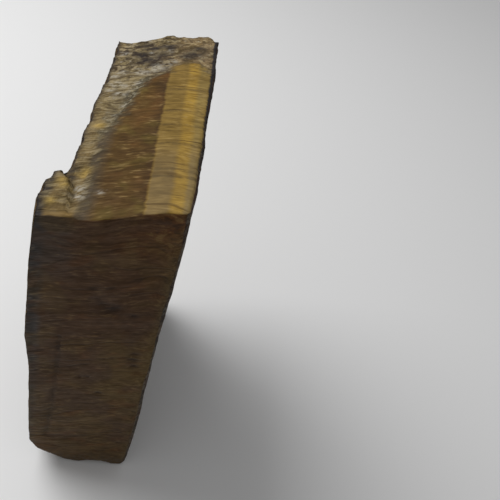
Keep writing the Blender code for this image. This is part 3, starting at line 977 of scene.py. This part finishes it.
def torn_stone(tree, at, under):
    """Broken stone: some of the bands' colour still shows, under splinters, pits and a grey border."""
    back = mask(tree, at.deep, 16.0, 25.0)
    near = mask(tree, at.deep, 8.0, -4.0)
    behind = mark_of(tree, "back")
    colour = blend(tree, back, torn_side(tree, at), torn_rear(tree, at))
    shown = sum_of(tree, "ADD", level(tree, near, 0.0, 1.0, 0.25, 0.5), both(tree, behind, 0.5))
    colour = blend(tree, shown, colour, under)
    colour = tinted(tree, colour, TORN_LIGHT, at.splinters, 0.54, 0.7, 0.35)
    colour = tinted(tree, colour, TORN_DARK, at.splinters, 0.5, 0.34, 0.4)
    pits = mask(tree, sum_of(tree, "SUBTRACT", at.speck, both(tree, at.relief, 0.15)), 0.5, 0.36)
    depth = sum_of(tree, "SUBTRACT", level(tree, back, 0.0, 1.0, 0.3, 0.6), both(tree, near, 0.2))
    colour = blend(tree, both(tree, pits, depth), colour, TORN_DARK)
    border = blend(tree, mask(tree, at.speck, 0.46, 0.66), BORDER_DARK, BORDER_LIGHT)
    colour = blend(tree, both(tree, mark_of(tree, "border"), 0.8), colour, border)
    pale = both(tree, mask(tree, at.splinters, 0.62, 0.74), level(tree, near, 0.0, 1.0, 0.6, 0.15))
    pale = both(tree, pale, level(tree, behind, 0.0, 1.0, 1.0, 0.4))
    return blend(tree, pale, colour, TORN_PALE)


def read_places(tree):
    """The sockets that tell where a point is: on the block, along its fibres and across its bands."""
    at = SimpleNamespace(fibre=mark_of(tree, "fibre", "Vector"), place=mark_of(tree, "millimetres", "Vector"))
    at.across, at.up = parts_of(tree, at.fibre, "XZ")
    at.right, at.deep, at.high = parts_of(tree, at.place, "XYZ")
    wobble = sum_of(tree, "SUBTRACT", grain(tree, at.fibre, (9.0, 7.0, 7.0)), 0.5)
    jag = sum_of(tree, "SUBTRACT", grain(tree, at.fibre, (9.0, 0.9, 0.9)), 0.5)
    at.banded = sum_of(tree, "ADD", sum_of(tree, "ADD", at.across, wobble), jag)
    at.fibre = swayed(tree, at.fibre)
    at.relief = mark_of(tree, "relief")
    at.splinters = grain(tree, at.fibre, (2.2, 0.8, 0.8), 3.0, 0.65)
    at.speck = grain(tree, at.place, (1.0, 1.0, 1.0), 2.0, 0.6)
    return at


def seam_colour(tree, at, streaks, torn):
    """The stone between the walls, out to the cut edge of the right rind."""
    top = cut_top(tree, at, streaks)
    # Painted shade: the front and the foot take the darker colours of the front.
    colour = blend(tree, mark_of(tree, "front"), top, front_in_painted_shade(tree, at, streaks))
    colour = blend(tree, torn, colour, torn_stone(tree, at, top))
    # Painted sheen: brighter gold in spots on the horn and the rim.
    painted_sheen = toned(tree, SHEEN_GOLD, streaks["Tone"], 0.3)
    colour = blend(tree, both(tree, mark_of(tree, "painted_sheen"), 0.8), colour, painted_sheen)
    edge = sum_of(tree, "SUBTRACT", at.banded, both(tree, at.deep, EDGE_LEAN))
    # Painted highlight: a paler, speckled line down the lower part of the front's right edge.
    edge_highlight = where(tree, (at.deep, -35.0, -37.5), (at.high, 84.0, 68.0))
    margin = blend(tree, both(tree, edge_highlight, mask(tree, at.speck, 0.34, 0.56)), CRUST, RIND_DUST)
    colour = blend(tree, mask(tree, edge, *EDGE_CRUST), colour, margin)
    pale = both(tree, mark_of(tree, "pale"), mask(tree, at.splinters, 0.4, 0.58))
    return blend(tree, both(tree, pale, 0.85), colour, TORN_PALE)


def wall_colour(tree, at, under, scar, rind_here, ends, gaps):
    """The two walls over the seam's colour: the scar, and the rind with dust by its front edge."""
    crust = use_group(tree, rind_look(), {"Place": at.place, "Relief": at.relief})["Colour"]
    colour = blend(tree, scar, under, scarred_wall(tree, at, crust, ends, gaps))
    ragged = both(tree, grain(tree, at.place, (5.0, 7.0, 7.0), 3.0, 0.6), 22.0)
    ragged = sum_of(tree, "ADD", at.deep, ragged)
    dusty = where(tree, (ragged, -21.0, -28.0), (at.speck, 0.36, 0.6))
    return blend(tree, rind_here, colour, blend(tree, both(tree, dusty, 0.7), crust, RIND_DUST))


def shade_and_wear_colour(tree, at, colour):
    """Painted shade in the rim's hollows, dark bruises, dust by the foot, and cracks, over everything else.
    """
    # Painted shade in the rim's hollows and the rind's dark line go towards the crust's colour on the top;
    # the front's bruises go towards a dark red brown.
    dark = both(tree, mark_of(tree, "dark"), mask(tree, at.speck, 0.28, 0.48))
    shade_and_bruise = blend(tree, mark_of(tree, "front"), CRUST, BRUISE)
    colour = blend(tree, both(tree, dark, 0.9), colour, shade_and_bruise)
    foot = where(tree, (at.high, 9.0, 1.5), (at.speck, 0.35, 0.6))
    colour = blend(tree, both(tree, foot, 0.7), colour, FOOT_DUST)
    crack = both(tree, mark_of(tree, "crack"), mask(tree, at.splinters, 0.38, 0.5))
    return blend(tree, both(tree, crack, 0.7), colour, CRACK)


def stone_material():
    material = bpy.data.materials.new("tigers_eye")
    material.use_nodes = True
    tree = material.node_tree
    shader = tree.nodes["Principled BSDF"]
    shader.inputs["Specular IOR Level"].default_value = SPECULAR
    torn, rind_here, scar = (mark_of(tree, name) for name in ("torn", "rind", "scar"))
    at = read_places(tree)
    streaks = use_group(tree, fibre_streaks(), {"Fibre": at.fibre, "Arc Gap": ARC_GAP})
    ends, gaps = bundle_ends(tree, at.place)

    colour = seam_colour(tree, at, streaks, torn)
    colour = wall_colour(tree, at, colour, scar, rind_here, ends, gaps)
    tree.links.new(shade_and_wear_colour(tree, at, colour), shader.inputs["Base Color"])

    harsh = sum_of(tree, "MAXIMUM", sum_of(tree, "MAXIMUM", torn, rind_here), scar)
    satin = level(tree, streaks["Tone"], *TONES, *SATIN)
    satin = add(tree, "Mix", {0: harsh, 2: satin, 3: DULL}, data_type="FLOAT")
    tree.links.new(satin, shader.inputs["Roughness"])
    height = sum_of(tree, "SUBTRACT", streaks["Tone"], both(tree, streaks["Arcs"], 0.5))
    height = sum_of(tree, "ADD", height, both(tree, harsh, both(tree, at.speck, 2.0)))
    knob = sum_of(tree, "ADD", mask(tree, gaps, 0.0, 0.3), both(tree, ends, 0.6))
    height = sum_of(tree, "ADD", height, both(tree, scar, both(tree, knob, 1.1)))
    normal = add(tree, "Bump", {"Height": height, "Distance": BUMP_DEPTH, "Strength": 0.8})
    tree.links.new(normal, shader.inputs["Normal"])
    return material


# The studio


def add_floor():
    mesh = bpy.data.meshes.new("floor")
    half = FLOOR_SIZE / 2
    corners = [(-half, -half, 0), (half, -half, 0), (half, half, 0), (-half, half, 0)]
    mesh.from_pydata(corners, [], [(0, 1, 2, 3)])
    material = bpy.data.materials.new("floor")
    material.use_nodes = True
    paint = material.node_tree.nodes["Principled BSDF"].inputs["Base Color"]
    paint.default_value = (FLOOR_GREY, FLOOR_GREY, FLOOR_GREY, 1.0)
    mesh.materials.append(material)
    put_in(bpy.data.objects.new("floor", mesh))


def add_light():
    world = bpy.data.worlds.new("studio")
    world.use_nodes = True
    sky = world.node_tree.nodes["Background"].inputs
    sky["Color"].default_value = (1.0, 1.0, 1.0, 1.0)
    sky["Strength"].default_value = WORLD_LIGHT
    bpy.context.scene.world = world
    lamp = bpy.data.lights.new("softbox", "AREA")
    lamp.energy = LAMP_POWER
    lamp.size = LAMP_SIZE
    light = put_in(bpy.data.objects.new("softbox", lamp))
    light.location = LAMP_AT
    light.rotation_euler = LAMP_TURN


def add_camera():
    camera = put_in(bpy.data.objects.new("camera", bpy.data.cameras.new("camera")))
    camera.data.lens = CAMERA_LENS
    camera.data.sensor_width = CAMERA_SENSOR
    camera.data.clip_start = CAMERA_NEAR
    camera.location = CAMERA_AT
    camera.rotation_euler = CAMERA_TURN
    bpy.context.scene.camera = camera


add_camera()
add_floor()
add_light()
stone = make_stone()
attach(stone, "root")
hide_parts(NODE)
bpy.context.scene.view_settings.view_transform = "Standard"
